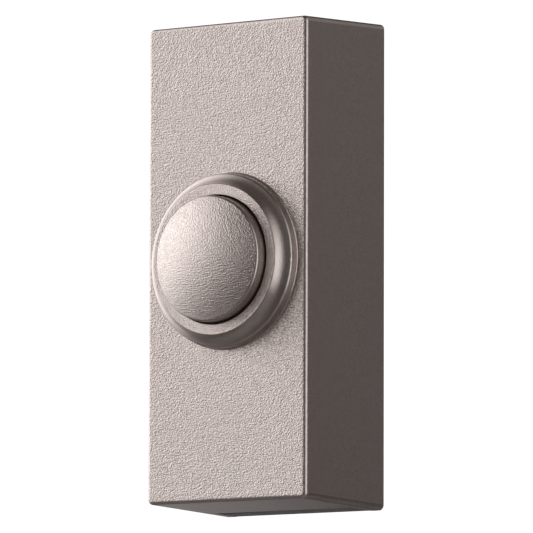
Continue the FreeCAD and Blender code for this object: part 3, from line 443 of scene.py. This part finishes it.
sleeve = Finish("capacitor_sleeve_film")
across = sleeve.axis("X")
middle = (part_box("electrolytic_capacitor")[0].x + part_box("electrolytic_capacitor")[1].x) / 2
stripe = sleeve.fit(across, middle + 0.0017, middle + 0.0018)
sleeve.shade(
    Base_Color=sleeve.mix(stripe, rgb(0.012, 0.015, 0.05), rgb(0.55, 0.56, 0.6)),
    Roughness=sleeve.fit(sleeve.noise(0.0008), 0.3, 0.7, 0.25, 0.4),
    Normal=sleeve.bump(sleeve.noise(0.0004), 0.00001),
)
wear(sleeve, "electrolytic_capacitor")


def ceramic(name, color):
    fired = Finish(name)
    speck = fired.noise(0.00012, 3.0)
    fired.shade(
        Base_Color=fired.mix(fired.fit(speck, 0.35, 0.65), rgb(*[v * 0.75 for v in color]), rgb(*color)),
        Roughness=fired.fit(speck, 0.3, 0.7, 0.45, 0.6),
        Normal=fired.bump(speck, 0.00001),
    )
    return fired


wear(ceramic("capacitor_ceramic_body", (0.42, 0.3, 0.19)), "chip_capacitors")
wear(ceramic("resistor_ceramic_body", (0.03, 0.03, 0.03)), "chip_resistors")

# %% [markdown]
# ## The studio
# Satin metal looks like what it reflects. One very large soft lamp stands at the left and a little
# above, and it draws the long gradient over the dome. A narrow soft lamp at the right edges the
# bezel and the corner of the housing. The world stays dim and plain, so the side wall stays dark.
# The camera is a little below the middle of the part, so the floor lies well under it.

# %% Lamps, world, floor and backdrop
FLOOR_Z = -0.90
TARGET = Vector((0.0, -0.015, 0.0))


def direction(azimuth, elevation):
    """Unit vector toward an azimuth round the part and a height above the horizon, in degrees."""
    a, e = math.radians(azimuth), math.radians(elevation)
    return Vector((math.sin(a) * math.cos(e), -math.cos(a) * math.cos(e), math.sin(e)))


def soft_lamp(name, azimuth, elevation, distance, fan, glow):
    """Gridded soft box that faces the part. glow is how bright its middle looks, where 1 is white.

    A grid narrows the light: seen from the part the box is brightest in its middle and fades to
    nothing fan degrees away from it, so its reflection has no edge and the floor gets little of it.
    """
    half = math.radians(fan)
    reach = 2 * distance * math.tan(half)
    data = bpy.data.lights.new(name, "AREA")
    data.shape = "DISK"
    data.size = reach
    data.spread = 2 * half
    grid_gain = math.tan(half) / (math.tan(half) - half)
    data.energy = glow * math.pi * math.pi * (reach / 2) ** 2 / grid_gain
    lamp = bpy.data.objects.new(name, data)
    bpy.context.scene.collection.objects.link(lamp)
    back = direction(azimuth, elevation)
    lamp.location = TARGET + back * distance
    lamp.rotation_mode = "QUATERNION"
    lamp.rotation_quaternion = back.to_track_quat("Z", "Y")
    return lamp


soft_lamp("key_soft_box", -72, 26, 1.2, 37, 2.4)
soft_lamp("fill_soft_box", -31, 14, 0.45, 36, 0.98)
soft_lamp("weak_soft_box", -5, 10, 1.9, 37, 0.11)
soft_lamp("low_left_soft_box", -55, -12, 1.6, 22, 1.0)
soft_lamp("far_left_soft_box", -93, -2, 1.7, 30, 1.9)
soft_lamp("right_soft_box_low", 80, -12, 1.6, 38, 1.4)
soft_lamp("right_soft_box_high", 80, 26, 1.6, 34, 1.0)
soft_lamp("back_soft_box", 148, 32, 0.7, 34, 0.28)
soft_lamp("low_soft_box_behind", 226, -10, 0.6, 11.8, 1.5)

world = bpy.data.worlds.new("plain_room")
bpy.context.scene.world = world
world.use_nodes = True
world.node_tree.nodes["Background"].inputs["Color"].default_value = rgb(0.066, 0.058, 0.055)
world.node_tree.nodes["Background"].inputs["Strength"].default_value = 1.0


def stage_sheet(name, corners):
    """Flat stage piece from its corners."""
    mesh = bmesh.new()
    mesh.faces.new([mesh.verts.new(corner) for corner in corners])
    data = bpy.data.meshes.new(name)
    mesh.to_mesh(data)
    mesh.free()
    sheet = bpy.data.objects.new(name, data)
    bpy.context.scene.collection.objects.link(sheet)
    sheet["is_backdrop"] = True
    return sheet


def pale(name, color, seen_white):
    """Pale stage finish. seen_white is how much it glows for camera, mirror and glass rays."""
    finish = Finish(name)
    rays = finish.node("ShaderNodeLightPath", output="Is Camera Ray")
    mirror = finish.node("ShaderNodeLightPath", output="Is Glossy Ray")
    glass = finish.node("ShaderNodeLightPath", output="Is Transmission Ray")
    seen = finish.fit(rays + mirror + glass, 0.0, 1.0, 0.0, seen_white)
    finish.shade(Base_Color=rgb(color, color, color), Roughness=0.9,
                 Emission_Color=rgb(1, 1, 1), Emission_Strength=seen)
    return finish


FLOOR_REACH = 14.0
floor = stage_sheet("floor", [(-FLOOR_REACH, -FLOOR_REACH, FLOOR_Z), (FLOOR_REACH, -FLOOR_REACH, FLOOR_Z),
                              (FLOOR_REACH, FLOOR_REACH, FLOOR_Z), (-FLOOR_REACH, FLOOR_REACH, FLOOR_Z)])
floor.data.materials.append(pale("pale_floor", 0.8, 0.0).material)

CAMERA_AZIMUTH = 36.2
WALL_DISTANCE = 3.0
CARD_FOOT, CARD_TOP = 0.0, 0.62
far = direction(CAMERA_AZIMUTH + 180, 0) * WALL_DISTANCE
side = direction(CAMERA_AZIMUTH + 90, 0) * 0.5
wall_corners = []
for point, z in ((far + side, CARD_FOOT), (far - side, CARD_FOOT), (far - side, CARD_TOP), (far + side, CARD_TOP)):
    wall_corners.append((point.x, point.y, z))
backdrop = stage_sheet("backdrop", wall_corners)
backdrop.data.materials.append(pale("white_backdrop", 0.8, 1.0).material)

# %% [markdown]
# ## The camera
# A long lens from well back keeps the box's edges nearly parallel. The part is seen 36 degrees from
# the right and 6 degrees from below.

# %% Camera
CAMERA_ELEVATION = -5.8005
CAMERA_ROLL = 0.1701
CAMERA_DISTANCE = 1.25103
FOCAL_PIXELS = 6895.08
FRAME_PIXELS = 533
AIM_RIGHT, AIM_UP = -0.0068021, 0.0009904

azimuth = math.radians(36.1998)
aim = Vector((AIM_RIGHT * math.cos(azimuth), AIM_RIGHT * math.sin(azimuth), AIM_UP))
back = direction(36.1998, CAMERA_ELEVATION)
right = (-back).cross(Vector((0, 0, 1))).normalized()
up = right.cross(-back)
roll = math.radians(CAMERA_ROLL)
tilted_right = right * math.cos(roll) + up * math.sin(roll)
tilted_up = up * math.cos(roll) - right * math.sin(roll)
camera_data = bpy.data.cameras.new("studio_camera")
camera = bpy.data.objects.new("studio_camera", camera_data)
bpy.context.scene.collection.objects.link(camera)
turned = Matrix((tilted_right, tilted_up, back)).transposed().to_4x4()
camera.matrix_world = Matrix.Translation(aim + back * CAMERA_DISTANCE) @ turned
camera_data.sensor_width = 36.0
camera_data.lens = 36.0 * FOCAL_PIXELS / FRAME_PIXELS
camera_data.clip_start, camera_data.clip_end = 0.05, 60.0
bpy.context.scene.camera = camera
bpy.context.scene.view_settings.view_transform = "Standard"
print("lens", round(camera_data.lens, 1), "mm")

# %% [markdown]
# ## The size of the dressed part
# The dressed part is meant to be as large as the CAD part. Its box is printed in millimetres.

# %% Print the dressed box
low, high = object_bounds()
print("dressed box:", [round(v * 1000, 2) for v in (*low, *high)], "mm")
